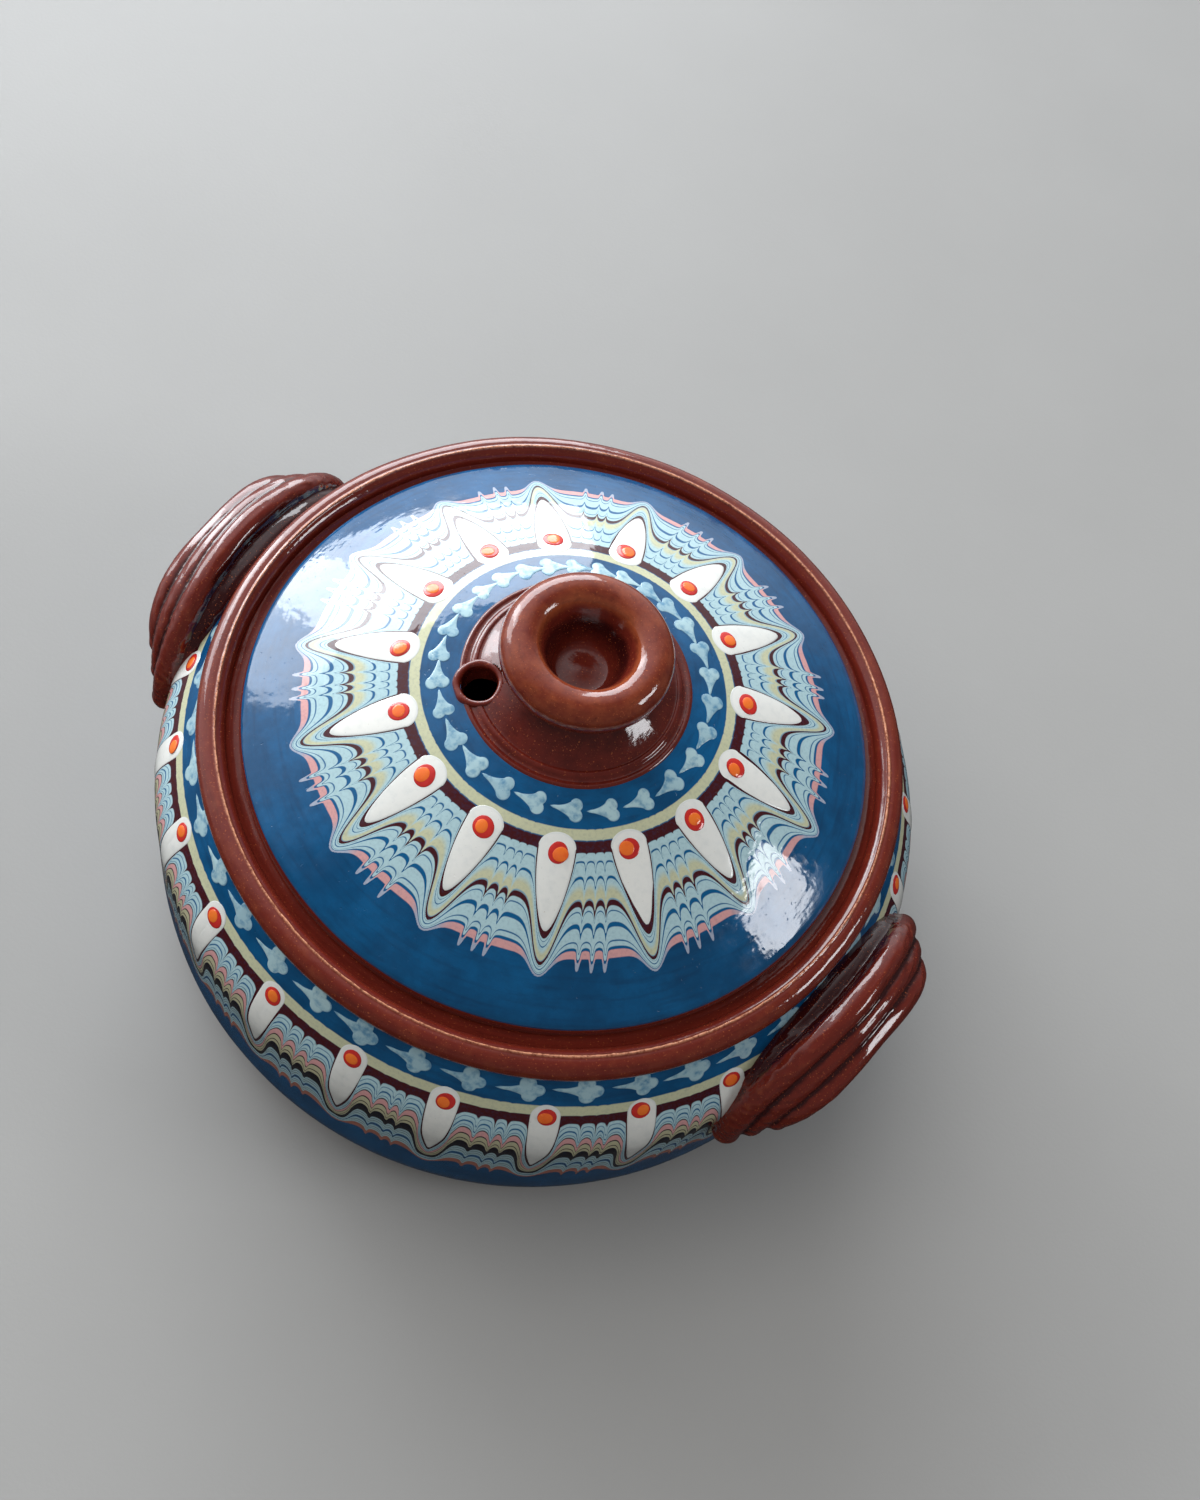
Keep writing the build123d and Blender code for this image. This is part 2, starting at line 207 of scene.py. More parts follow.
def banded_slip(name, bands, soft, coat, shine):
    """The blue coat, with bands of other slips trailed on it and combed while wet. The mesh
    gives each point's place in the sequence of bands, in millimetres."""
    recipe = Recipe(name)
    beside = recipe.given("beside")  # 1 next to a petal, where the pink is a mauve
    waver = recipe.math("SUBTRACT", recipe.noise(7.0, detail=3.0), 0.5)
    band = recipe.math("ADD", recipe.given("band"), recipe.math("MULTIPLY", waver, 0.2))
    cloud = recipe.between(recipe.noise(16.0, detail=6.0, rough=0.65), 0.35, 0.7)
    ground = recipe.mix(cloud, GROUND_BLUE, LINE_BLUE)
    streak = recipe.between(recipe.noise(1.8, detail=4.0, along_lay=True), 0.45, 0.75)
    colour = recipe.mix(recipe.math("MULTIPLY", streak, 0.35), ground, DEEP_BLUE)
    for start, end, paint, *fade in bands:
        if paint is PINK:
            paint = recipe.mix(beside, PINK, MAUVE)
        into = recipe.between(band, start - soft, start + (fade[0] if fade else soft))
        out_of = recipe.between(band, end - soft, end + soft)
        colour = recipe.mix(recipe.math("SUBTRACT", into, out_of), colour, paint)
    drawn = recipe.between(recipe.noise(0.9, detail=3.0), 0.40, 0.85)
    colour = recipe.mix(recipe.math("MULTIPLY", drawn, 0.22), colour, GROUND_BLUE)
    recipe.feed(Base_Color=colour)
    glaze_over(recipe, roughness=0.07, ripple=0.06, coat=coat, shine=shine)
    return recipe.material


def slip_drops(name, thick, thin, speck, streaks=0.45):
    """Drops of one slip: the thin colour at the edge and in streaks, each drop a little
    different. The mesh gives how far inside the edge a point is, and a number for its drop."""
    recipe = Recipe(name)
    edge = recipe.between(recipe.given("inside"), 0.16, 0.0)
    lot = recipe.math("MULTIPLY", recipe.given("lot"), 0.35)
    streak = recipe.between(recipe.noise(2.6, detail=5.0), 0.42, 0.75)
    patch = recipe.math("MULTIPLY", streak, streaks)
    share = recipe.math("MAXIMUM", recipe.math("ADD", lot, patch), edge)
    colour = recipe.mix(share, thick, thin)
    specks = recipe.between(recipe.noise(0.7, detail=1.0), 0.74, 0.80)
    colour = recipe.mix(recipe.math("MULTIPLY", specks, 0.5), colour, speck)
    recipe.feed(Base_Color=colour)
    glaze_over(recipe, roughness=0.08, ripple=0.03)
    return recipe.material


def brown_glaze(name):
    """Iron-brown glaze: thin and orange where the clay bulges, dark where it pools and where
    shade is painted on, and worn to bare clay along a ridge. The mesh gives bulge, ridge, and
    one number for pooled glaze and painted shade."""
    recipe = Recipe(name)
    bulge = recipe.given("bulge")
    mottle = recipe.math("SUBTRACT", recipe.noise(6.0, detail=6.0, rough=0.65), 0.5)
    shown = recipe.math("ADD", bulge, recipe.math("MULTIPLY", mottle, 1.2))
    # Darker where the glaze pools, and painted shade where the mesh marks it: behind the handles'
    # ribs, in the shadow under the rim.
    shown = recipe.math("SUBTRACT", shown, recipe.math("MULTIPLY", recipe.given("pool"), 1.6))
    thick_and_shaded = recipe.mix(recipe.between(shown, -0.9, 0.15), BROWN_THICK_AND_SHADE, BROWN)
    thin = recipe.math("MULTIPLY", recipe.between(shown, 0.2, 1.3), 0.7)
    colour = recipe.mix(thin, thick_and_shaded, BROWN_THIN)
    run = recipe.between(recipe.noise(1.6, detail=5.0, along_lay=True), 0.45, 0.8)
    colour = recipe.mix(recipe.math("MULTIPLY", run, 0.35), colour, BROWN_THICK_AND_SHADE)
    speck_place = recipe.noise(0.55, detail=1.5)
    light_specks = recipe.math("MULTIPLY", recipe.between(speck_place, 0.66, 0.72), 0.8)
    colour = recipe.mix(light_specks, colour, BROWN_THIN)
    dark_specks = recipe.math("MULTIPLY", recipe.between(speck_place, 0.30, 0.24), 0.6)
    colour = recipe.mix(dark_specks, colour, BROWN_THICK_AND_SHADE)
    ridge = recipe.given("ridge")
    bare = recipe.math("MULTIPLY", recipe.between(recipe.noise(0.8, detail=3.0), 0.25, 0.6), ridge)
    colour = recipe.mix(bare, colour, BARE_CLAY)
    recipe.feed(Base_Color=colour)
    crest = recipe.math("MAXIMUM", recipe.between(bulge, 0.35, 0.95), ridge)
    gritty = recipe.math("MULTIPLY", recipe.noise(0.5, detail=2.0), crest)
    ripples = recipe.bump(recipe.noise(4.0, detail=3.0), 0.09)
    drawn = recipe.bump(recipe.noise(1.3, detail=3.0, along_lay=True), 0.05, ripples)
    gritted = recipe.bump(gritty, 0.10, drawn)
    recipe.feed(
        Roughness=recipe.scaled(crest, 0.08, 0.24),
        Normal=gritted,
        Coat_Weight=0.3,
        Coat_Roughness=0.04,
        Coat_Normal=gritted,
    )
    return recipe.material


# ---- surfaces of revolution; a profile is a row of (distance from the axis, height) ----
def arc(middle, radius, start, end, count):
    turn = np.radians(np.linspace(start, end, count))
    return np.array(middle) + radius * np.stack([np.cos(turn), np.sin(turn)], axis=1)


def line(start, end, count):
    return np.linspace(start, end, count)


def through(points, steps):
    """A smooth curve through points, by Catmull and Rom's rule."""
    points = np.array(points, float)
    ends = np.vstack([2 * points[0] - points[1], points, 2 * points[-1] - points[-2]])
    share = np.linspace(0, 1, steps, endpoint=False)[:, None]
    legs = []
    for before, start, end, after in zip(ends, ends[1:], ends[2:], ends[3:]):
        bend = 2 * before - 5 * start + 4 * end - after
        twist = -before + 3 * start - 3 * end + after
        legs.append(start + (end - before + (bend + twist * share) * share) * share / 2)
    return np.vstack([*legs, points[-1:]])


def softened(profile, passes):
    """Rounds a profile's corners, as glaze does, and leaves its ends in place."""
    profile = profile.copy()
    for _ in range(passes):
        profile[1:-1] = (profile[:-2] + 2 * profile[1:-1] + profile[2:]) / 4
    return profile


def turned(profile, columns):
    """The points of a profile of (distance, height) turned round Z: rows by columns by 3."""
    turn = np.arange(columns) * 2 * pi / columns
    distance, height = profile[:, 0, None], profile[:, 1, None]
    return np.stack(
        [distance * np.cos(turn), distance * np.sin(turn), height + 0 * turn], axis=-1
    )


def woven(rows, columns):
    """Quads between rows of points that close on themselves."""
    here = np.arange(rows * columns).reshape(rows, columns)
    beside = np.roll(here, -1, axis=1)
    quads = np.stack([here[:-1], beside[:-1], beside[1:], here[1:]], axis=-1)
    return quads.reshape(-1, 4).tolist()


def capped(rows, columns):
    """The same, with the first and last rows closed by a face each."""
    last = (rows - 1) * columns
    first_cap = list(range(columns))[::-1]
    return woven(rows, columns) + [first_cap, list(range(last, last + columns))]


def facing(points):
    """Unit normals of a turned surface."""
    up = np.gradient(points, axis=0)
    around = np.roll(points, -1, axis=1) - np.roll(points, 1, axis=1)
    normal = np.cross(around, up)
    return normal / np.maximum(np.linalg.norm(normal, axis=-1, keepdims=True), 1e-9)


def grain(points, size):
    """Smooth random numbers from about -1 to 1 that change over this size."""
    flat = points.reshape(-1, 3) / size
    return np.array([noise.noise(Vector(p)) for p in flat]).reshape(points.shape[:-1])


def lay_of(profile, columns, stretch=9.0):
    """Coordinates in which marks left by turning run round the pot."""
    turn = np.arange(columns) * 2 * pi / columns
    step = np.linalg.norm(np.diff(profile, axis=0), axis=1)
    along = np.concatenate([[0.0], np.cumsum(step)])[:, None]
    return np.stack(
        [stretch * np.cos(turn) + 0 * along, stretch * np.sin(turn) + 0 * along, along + 0 * turn],
        axis=-1,
    )


def smoothstep(value, low, high):
    share = np.clip((value - low) / (high - low), 0, 1)
    return share * share * (3 - 2 * share)


# ---- making pieces ----
def add_piece(node, points, faces, material, slot, lay=None, bulge_reach=0, **values):
    """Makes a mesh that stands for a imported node, and rides on that node's body. The values
    are stored point by point, under their names, for the material to read."""
    mesh = bpy.data.meshes.new(node + "_look")
    mesh.from_pydata((points.reshape(-1, 3) * MM).tolist(), [], faces)
    mesh.shade_smooth()
    mesh.materials.append(material)
    if bulge_reach:
        values["bulge"] = bulge_of(mesh, bulge_reach)
    for name, numbers in values.items():
        stored = mesh.attributes.new(name, "FLOAT", "POINT")
        stored.data.foreach_set("value", np.asarray(numbers, np.float32).ravel())
    if lay is not None:
        stored = mesh.attributes.new("lay", "FLOAT_VECTOR", "POINT")
        stored.data.foreach_set("vector", np.asarray(lay, np.float32).ravel())
    piece = bpy.data.objects.new(mesh.name, mesh)
    bpy.context.scene.collection.objects.link(piece)
    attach(piece, frame["nodes"][node]["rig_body"])
    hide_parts(node)


def bulge_of(mesh, reach):
    """How far each point of a mesh stands out of its surroundings: 1 on a sharp crest, -1 in
    a sharp crease."""
    count = len(mesh.vertices)
    points = np.empty(count * 3, np.float32)
    mesh.vertices.foreach_get("co", points)
    points = points.reshape(-1, 3)
    ends = np.empty(len(mesh.edges) * 2, np.int32)
    mesh.edges.foreach_get("vertices", ends)
    ends = ends.reshape(-1, 2)
    here = np.concatenate([ends[:, 0], ends[:, 1]])
    there = np.concatenate([ends[:, 1], ends[:, 0]])
    degree = np.maximum(np.bincount(here, minlength=count), 1)[:, None]
    smooth = points.astype(float)
    for _ in range(reach):
        total = [np.bincount(here, smooth[there, i], count) for i in range(3)]
        smooth = (smooth + np.stack(total, axis=1) / degree) / 2
    normals = np.empty(count * 3, np.float32)
    mesh.vertex_normals.foreach_get("vector", normals)
    out = ((points - smooth) * normals.reshape(-1, 3)).sum(axis=1)
    return np.clip(out / np.percentile(np.abs(out), 96), -1, 1)


def only(faces, keep):
    """The faces that have all their corners kept."""
    kept = keep.reshape(-1)
    return [face for face in faces if all(kept[corner] for corner in face)]


# ---- the two decorated surfaces, each addressed by a distance and an angle in degrees ----
def on_lid(distance, angle, proud=0.0):
    """Points this far from the lid's axis, standing `proud` of its coat."""
    turn = np.radians(angle)
    slope = 2 * lid_rise * distance / lid_radius**2
    tilt = np.arctan(slope)
    out = distance + proud * np.sin(tilt)
    height = dome_top - lid_rise * (distance / lid_radius) ** 2 + proud * np.cos(tilt)
    return np.stack(np.broadcast_arrays(out * np.cos(turn), out * np.sin(turn), height), axis=-1)


def wall_profile(depth, proud=0.0):
    """Distance and height of points this far down the wall's coat from under the rim."""
    depth = np.asarray(depth, float)
    lean = neck_lean - np.clip((depth - neck_length) / shoulder_radius, 0, neck_lean)
    tuck = np.clip((depth - belly_end) / heel_radius, 0, None)
    slant = np.clip(neck_length - depth, 0, None)
    drop = np.clip(depth - shoulder_end, 0, belly_height)
    distance = belly_radius - shoulder_radius * (1 - np.cos(lean)) - slant * sin(neck_lean)
    distance = distance - heel_radius * (1 - np.cos(tuck))
    height = shoulder_height + shoulder_radius * np.sin(lean) + slant * cos(neck_lean)
    height = height - drop - heel_radius * np.sin(tuck)
    facing_up = lean - tuck
    return distance + proud * np.cos(facing_up), height + proud * np.sin(facing_up)


def on_wall(depth, angle, proud=0.0):
    """Points this far down the wall's coat, standing `proud` of it."""
    turn = np.radians(angle)
    distance, height = wall_profile(depth, proud)
    return np.stack(
        np.broadcast_arrays(distance * np.cos(turn), distance * np.sin(turn), height), axis=-1
    )


# ---- petals, and the combing between them ----
class Petals:
    """A ring of trailed petals on one surface, with three combed lines in each gap. Distances
    run towards the petals' tips."""

    def __init__(self, count, first, sway, head, tip, tip_sway):
        self.pitch = 360 / count
        self.angle = first + self.pitch * np.arange(count) + chance.uniform(-sway, sway, count)
        self.tip = tip + chance.uniform(-tip_sway, tip_sway, count)
        self.head = head

    def nearest(self, angle):
        """Degrees from the nearest petal, and that petal's tip, for angles in degrees."""
        away = (angle[:, None] - self.angle + 180) % 360 - 180
        index = np.abs(away).argmin(axis=1)
        return away[np.arange(len(angle)), index], self.tip[index]

    def combed(self, distance, angle, offsets, sway, slant, width, reach, tail):
        """How far the comb has drawn the slip along at each point of a grid: a cusp of this
        width and reach, and inside it a round-ended tail."""
        drawn = np.zeros((len(distance), len(angle)))
        for petal in self.angle:
            for offset in offsets:
                middle = petal + self.pitch / 2 + offset + chance.uniform(-sway, sway)
                strength = chance.uniform(0.8, 1.15)
                path = middle + slant * (distance - self.head)
                away = np.abs((angle - path[:, None] + 180) % 360 - 180)
                cusp = (np.exp(-away / width) + np.exp(-away / (0.4 * width))) / 2
                finger = np.exp(-((away / width) ** 4))
                line_pull = strength * (cusp * reach[:, None] + finger * tail[:, None])
                drawn = np.maximum(drawn, line_pull)
        return drawn


def folded(distance, first_edge, reach, bends, away, tips):
    """The place in the sequence of bands of points at this distance: each stretch of bands is
    squeezed between two edges. `reach` is where the petals have pushed the first edge to. Each
    bend is a further edge: its place far from a petal, how far beyond a petal's tip it goes,
    and over how many degrees it comes back, with which power."""
    edges = [reach]
    plain = [first_edge]
    for far_off, beyond, width, power in bends:
        pushed = np.exp(-((np.abs(away) / width) ** power))
        edges.append(far_off + (tips + beyond - far_off) * pushed)
        plain.append(far_off)
    place = np.minimum(distance, first_edge)
    for (low, high), (start, end) in zip(zip(edges, edges[1:]), zip(plain, plain[1:])):
        share = (distance - low) / np.maximum(high - low, 0.1)
        place = np.where(distance > low, start + share * (end - start), place)
    return np.where(distance > edges[-1], plain[-1] + distance - edges[-1], place)


lid_first_edge = 50.5  # inner edge of the bands that the petals push outwards
wall_first_edge = 14.4
lid_petal_width = 6.1  # degrees from the middle of a petal to its widest side
wall_petal_width = 2.2
lid_petals = Petals(15, first=12.8, sway=0.7, head=52.5, tip=75.3, tip_sway=1.2)
wall_petals = Petals(25, first=3.3, sway=0.25, head=14.8, tip=48.0, tip_sway=1.6)


def petal_share(away, width, blunt, fullness):
    """How far a petal reaches, from 1 at its middle to 0 at its widest side. A blunt petal
    has a rounder tip; a full one has sides that bulge."""
    across = (np.hypot(away, blunt) - blunt) / (np.hypot(width, blunt) - blunt)
    return np.clip(1 - across, 0, 1) ** (1 / fullness)


def lid_petal_reach(away, tip):
    """How far out a lid petal reaches, at some degrees from its middle."""
    share = petal_share(away, lid_petal_width, blunt=1.6, fullness=1.4)
    return lid_first_edge + (tip - lid_first_edge) * share


def wall_petal_reach(away, tip):
    """How far down a wall petal reaches."""
    share = petal_share(away, wall_petal_width, blunt=0.17, fullness=1.85)
    return wall_first_edge + (tip - wall_first_edge) * share


# Bands of slip: start, end, colour, and the distance a band fades in over, if it does.
# Later ones lie over earlier ones. On the lid, by distance from the axis, far from a petal.
LID_BANDS = (
    (47.0, 50.3, YELLOW_GREEN),
    (50.05, 50.4, LINE_BLUE),
    (50.35, 53.5, MAROON),
    (53.5, 63.5, PALE_BLUE),
    (55.6, 56.1, LINE_BLUE),
    (59.6, 60.4, LINE_BLUE),
    (61.4, 65.7, YELLOW_GREEN, 2.6),
    (65.7, 78.6, PALE_BLUE),
    (65.85, 66.0, LINE_BLUE),
    (66.1, 67.7, MAROON),
    (68.9, 69.25, LINE_BLUE),
    (72.1, 73.4, LINE_BLUE),
    (76.9, 77.3, LINE_BLUE),
    (78.6, 79.4, LINE_BLUE),
    (79.4, 81.6, PINK),
)
# On the wall, by depth under the rim, far from a petal.
WALL_BANDS = (
    (10.7, 14.3, YELLOW_GREEN),
    (14.3, 17.4, MAROON),
    (17.4, 23.3, PALE_BLUE),
    (18.5, 18.75, LINE_BLUE),
    (20.1, 20.7, LINE_BLUE),
    (21.9, 22.15, LINE_BLUE),
    (22.9, 23.4, BLACK_BROWN),
    (23.4, 26.0, PINK),
    (25.8, 26.4, BLACK_BROWN),
    (26.4, 30.7, BEIGE),
    (28.7, 29.2, BLACK_BROWN),
    (30.7, 36.4, BLACK_BROWN),
    (36.4, 51.2, PALE_BLUE),
    (38.2, 38.6, BLACK_BROWN),
    (40.4, 40.8, BLACK_BROWN),
    (42.8, 45.3, LINE_BLUE),
    (47.3, 47.7, BLACK_BROWN),
    (49.3, 49.6, BLACK_BROWN),
    (51.2, 55.4, TERRACOTTA),
)


# ---- the blue coats ----
def add_coat(node, surface, rows, angles, waves, edge, material, band, beside):
    """A coat of slip on a surface, uneven by waves of (size, depth). `edge` lets the outer
    rows down. The rows are turned round, so that the faces look outwards."""
    flat = surface(rows[:, None], angles)
    uneven = sum(grain(flat, size) * depth for size, depth in waves)
    points = surface(rows[:, None], angles, proud=uneven + edge[:, None])
    lay = lay_of(np.stack([rows, 0 * rows], axis=1), len(angles))
    add_piece(
        node,
        points[::-1],
        woven(len(rows), len(angles)),
        material,
        "blue_slip",
        lay=lay[::-1],
        band=band[::-1],
        beside=beside[::-1],
    )


lid_angles = np.arange(1800) * 0.2
# Rows lie closest together across the bands.
lid_rows = np.concatenate(
    [
        np.arange(35.3, 46.0, 0.9),
        np.arange(46.0, 88.0, 0.42),
        np.arange(88.0, 98.0, 0.8),
        [98.4, 98.8, 99.2, 99.5, 99.8, 100.0, 100.1],
    ]
)
away, tips = lid_petals.nearest(lid_angles)
at_pink = smoothstep(lid_rows, 78.0, 82.0)
lid_comb = lid_petals.combed(
    lid_rows,
    lid_angles,
    offsets=(-2.6, 0.2, 3.3),
    sway=0.5,
    slant=-0.06,
    width=0.5,
    reach=0.2 + 3.8 * smoothstep(lid_rows, 52.5, 60.0) - 3.8 * at_pink,
    tail=3.4 * at_pink,
)
lid_bends = ((60.4, 3.3, 3.6, 2), (67.7, 7.9, 3.6, 2), (81.65, 10.75, 2.7, 2))
lid_reach = lid_petal_reach(away, tips)
past_pink = smoothstep(lid_rows, 81.9, 82.9)[:, None]
add_coat(
    "lid_slip_coat",
    on_lid,
    lid_rows,
    lid_angles,
    waves=((22.0, 0.12), (7.0, 0.035)),
    edge=np.interp(lid_rows, (98.4, 99.5, 100.0, 100.1), (0.0, -0.3, -1.0, -2.0)),
    material=banded_slip("lid_slip", LID_BANDS, soft=0.16, coat=0.35, shine=0.5),
    band=folded(lid_rows[:, None] - lid_comb, lid_first_edge, lid_reach, lid_bends, away, tips),
    beside=np.maximum(np.exp(-((away / 3.6) ** 4)), past_pink),
)

wall_angles = np.arange(1500) * 0.24
wall_rows = np.concatenate(
    [
        np.arange(0.0, 10.0, 1.0),
        np.arange(10.0, 68.0, 0.5),
        np.arange(68.0, coat_end, 1.6),
        [coat_end],
    ]
)
away, tips = wall_petals.nearest(wall_angles)
wall_comb = wall_petals.combed(
    wall_rows,
    wall_angles,
    offsets=(-2.0, 0.25, 2.05),
    sway=0.3,
    slant=0.0,
    width=0.46,
    reach=0.3 + 6.7 * smoothstep(wall_rows, 15.5, 25.0),
    tail=0 * wall_rows,
)
wall_bends = ((33.5, 9.5, 2.45, 4), (55.4, 15.0, 2.6, 2))
wall_reach = wall_petal_reach(away, tips)
wall_band = folded(
    wall_rows[:, None] - wall_comb, wall_first_edge, wall_reach, wall_bends, away, tips
)
add_coat(
    "pot_slip_coat",
    on_wall,
    wall_rows,
    wall_angles,
    waves=((26.0, 0.15), (8.0, 0.04)),
    edge=-0.5 * smoothstep(wall_rows, coat_end - 2.0, coat_end),
    material=banded_slip("wall_slip", WALL_BANDS, soft=0.2, coat=0.2, shine=0.45),
    band=wall_band,
    beside=np.zeros(wall_band.shape),
)


# ---- raised drops of slip ----
# An outline is a closed row of (distance or depth, degrees). `per_degree` is the length of a
# degree there, in millimetres.
RING_SHARES = (1.0, 0.985, 0.96, 0.92, 0.86, 0.78, 0.68, 0.57, 0.45, 0.33, 0.20, 0.06)
edge_sink = 0.06  # a drop's edge lies this far inside the coat
petal_corners = 110
red_height = 0.38
orange_height = 0.3
orange_lift = 0.26  # an orange dot starts this far above the foot of the red one under it


def evenly_spaced(outline, per_degree, count):
    """The same closed outline with its points evenly spaced."""
    closed = np.vstack([outline, outline[:1]])
    step = np.hypot(np.diff(closed[:, 0]), np.diff(closed[:, 1]) * per_degree)
    along = np.concatenate([[0.0], np.cumsum(step)])
    at = np.linspace(0, along[-1], count, endpoint=False)
    return np.stack([np.interp(at, along, column) for column in closed.T], axis=1)


def add_drops(node, surface, drops, material, slot, base=0.0):
    """Raised drops on a surface. Each is (outline, middle, height), and stands this height
    above `base` at its middle. It is made of rings, from its edge inwards."""
    points, faces, inside, lots = [], [], [], []
    count = 0
    for outline, middle, height in drops:
        spread = outline - middle
        lot = chance.uniform()
        for share in RING_SHARES:
            place = middle + share * spread
            rise = (1 - share**2) ** 0.5 if share < 1 else 0.0
            sunk = edge_sink if share == 1.0 else 0.0
            points.append(surface(place[:, 0], place[:, 1], base - sunk + height * rise))
            inside.append(np.full(len(outline), 1 - share))
            lots.append(np.full(len(outline), lot))
        size = len(outline)
        rings = len(RING_SHARES)
        quads = np.array(woven(rings, size)) + count
        faces += quads.tolist()
        faces.append(list(range(count + (rings - 1) * size, count + rings * size)))
        count += rings * size
    points = np.concatenate(points)
    add_piece(
        node,
        points,
        faces,
        material,
        slot,
        inside=np.concatenate(inside),
        lot=np.concatenate(lots),
        lay=points,
    )


def petal_outline(reach, width, head, head_depth, tip):
    """The outline of a petal at 0 degrees: its sides follow `reach`, its head is round."""
    away = width * np.sin(np.linspace(-pi / 2, pi / 2, 61))
    side = np.stack([np.maximum(reach(away, tip), head), away], axis=1)
    turn = np.linspace(pi, 0, 31)[1:-1]
    round_end = np.stack([head - head_depth * np.sin(turn), -width * np.cos(turn)], axis=1)
    return np.vstack([side, round_end])


def petal_drops(petals, reach, width, head_depth, per_degree, tip_gap, height):
    """A drop for each petal. It stops this gap short of where the petal pushes the bands to."""
    drops = []
    for angle, tip in zip(petals.angle, petals.tip):
        outline = petal_outline(reach, width, petals.head, head_depth, tip - tip_gap)
        outline = evenly_spaced(outline, per_degree, petal_corners)
        outline[:, 1] += angle
        middle = np.array([petals.head + 3.0, angle])
        drops.append((outline, middle, height))
    return drops


def disc(distance, angle, radius, per_degree):
    """A nearly round outline of this radius."""
    turn = -np.linspace(0, 2 * pi, 40, endpoint=False)
    wobble = radius * (1 + 0.05 * np.sin(2 * turn + chance.uniform(0, 6)))
    outwards = distance + wobble * np.sin(turn)
    return np.stack([outwards, angle - wobble * np.cos(turn) / per_degree], axis=1)


def add_dots(prefix, petals, surface, distance, per_degree, base):
    """A red dot on each petal's head, and an orange one on it, a little to one side."""
    reds, oranges = [], []
    for angle in petals.angle:
        shift = (chance.uniform(-0.5, 0.5), chance.uniform(-0.5, 0.5) / per_degree)
        middle = np.array([distance, angle]) + shift
        reds.append((disc(*middle, chance.uniform(2.9, 3.3), per_degree), middle, red_height))
        aside = middle + (chance.uniform(-0.4, 0.4), chance.uniform(-0.9, 0.9) / per_degree)
        oranges.append((disc(*aside, chance.uniform(1.9, 2.2), per_degree), aside, orange_height))
    add_drops(prefix + "_red_dots", surface, reds, red_slip, "red_slip", base)
    base += orange_lift
    add_drops(prefix + "_orange_dots", surface, oranges, orange_slip, "orange_slip", base)


def lobed(lobes, tail_length, tail_width, tail_curl):
    """A heart's outline in millimetres: round lobes, each (across, along, radius), drawn out
    backwards to a tail. A curl under 1 makes the tail's sides hollow."""
    ray = np.linspace(0, 2 * pi, 88, endpoint=False)
    across, along = np.cos(ray), np.sin(ray)
    reach = np.full(len(ray), 0.3)
    for x, y, radius in lobes:
        nearest = x * across + y * along
        clear = radius**2 - (x**2 + y**2 - nearest**2)
        hit = nearest + np.sqrt(np.maximum(clear, 0))
        reach = np.maximum(reach, np.where(clear > 0, hit, 0))
    back = np.maximum(-along, 1e-6)
    slimness = (back / tail_length) ** tail_curl + (np.abs(across) / tail_width) ** tail_curl
    tail = slimness ** (-1 / tail_curl)
    reach = np.maximum(reach, np.where(along < 0, tail, 0))
    reach = (np.roll(reach, 1) + 2 * reach + np.roll(reach, -1)) / 4
    return np.stack([reach * across, reach * along], axis=1)


def heart_drops(count, first, distance, per_degree, lobes, tail, height, crowd=0.0, wide=0.0):
    """A ring of hearts that point round the axis. They are `crowd` degrees out of even
    spacing, and furthest apart at the angle `wide`."""
    drops = []
    for number in range(count):
        even = first + 360 * number / count
        angle = even + crowd * sin(radians(even - wide)) + chance.uniform(-0.4, 0.4)
        size = chance.uniform(1.0, 1.16)
        lean = chance.uniform(-0.12, 0.12)
        across, along = size * lobed(lobes, *tail).T
        tilted = across * cos(lean) - along * sin(lean)
        swung = across * sin(lean) + along * cos(lean)
        middle = np.array([distance + chance.uniform(-0.3, 0.3), angle])
        outline = np.stack([middle[0] + tilted, middle[1] + swung / per_degree], axis=1)
        drops.append((outline, middle, height))
    return drops


cream_slip = slip_drops("cream_slip", CREAM, (0.66, 0.68, 0.66), (0.5, 0.45, 0.38))
pale_slip = slip_drops("pale_blue_slip", PALE_BLUE, (0.12, 0.28, 0.42), LINE_BLUE, streaks=0.9)
red_slip = slip_drops("red_slip", RED, (0.42, 0.016, 0.018), (0.75, 0.12, 0.05))
orange_slip = slip_drops("orange_slip", ORANGE, (0.80, 0.10, 0.020), (0.95, 0.34, 0.10))

lid_degree = radians(52.5)  # length of a degree at the heads of the petals
wall_degree = radians(118.0)
lid_petal_drops = petal_drops(
    lid_petals,
    lid_petal_reach,
    lid_petal_width,
    head_depth=4.3,
    per_degree=lid_degree,
    tip_gap=0.7,
    height=0.22,
)
add_drops("lid_cream_petals", on_lid, lid_petal_drops, cream_slip, "cream_slip")
wall_petal_drops = petal_drops(
    wall_petals,
    wall_petal_reach,
    wall_petal_width,
    head_depth=4.6,
    per_degree=wall_degree,
    tip_gap=0.8,
    height=0.3,
)
add_drops("pot_cream_petals", on_wall, wall_petal_drops, cream_slip, "cream_slip")
add_dots("lid", lid_petals, on_lid, 54.0, lid_degree, base=0.16)
add_dots("pot", wall_petals, on_wall, 15.1, wall_degree, base=0.2)

lid_hearts = heart_drops(
    28,
    first=9.9,
    distance=41.8,
    per_degree=radians(41.8),
    lobes=((1.4, 1.2, 1.85), (-1.4, 1.2, 1.85)),
    tail=(7.5, 2.8, 0.68),
    height=0.2,
    crowd=9.5,
    wide=312.0,
)
add_drops("lid_pale_hearts", on_lid, lid_hearts, pale_slip, "pale_blue_slip")
wall_hearts = heart_drops(
    42,
    first=2.3,
    distance=4.9,
    per_degree=radians(113.0),
    lobes=((2.1, 1.1, 2.2), (-2.3, 0.5, 2.45), (0.2, 3.4, 2.1)),
    tail=(11.0, 3.4, 0.58),
    height=0.25,
)
add_drops("pot_pale_hearts", on_wall, wall_hearts, pale_slip, "pale_blue_slip")

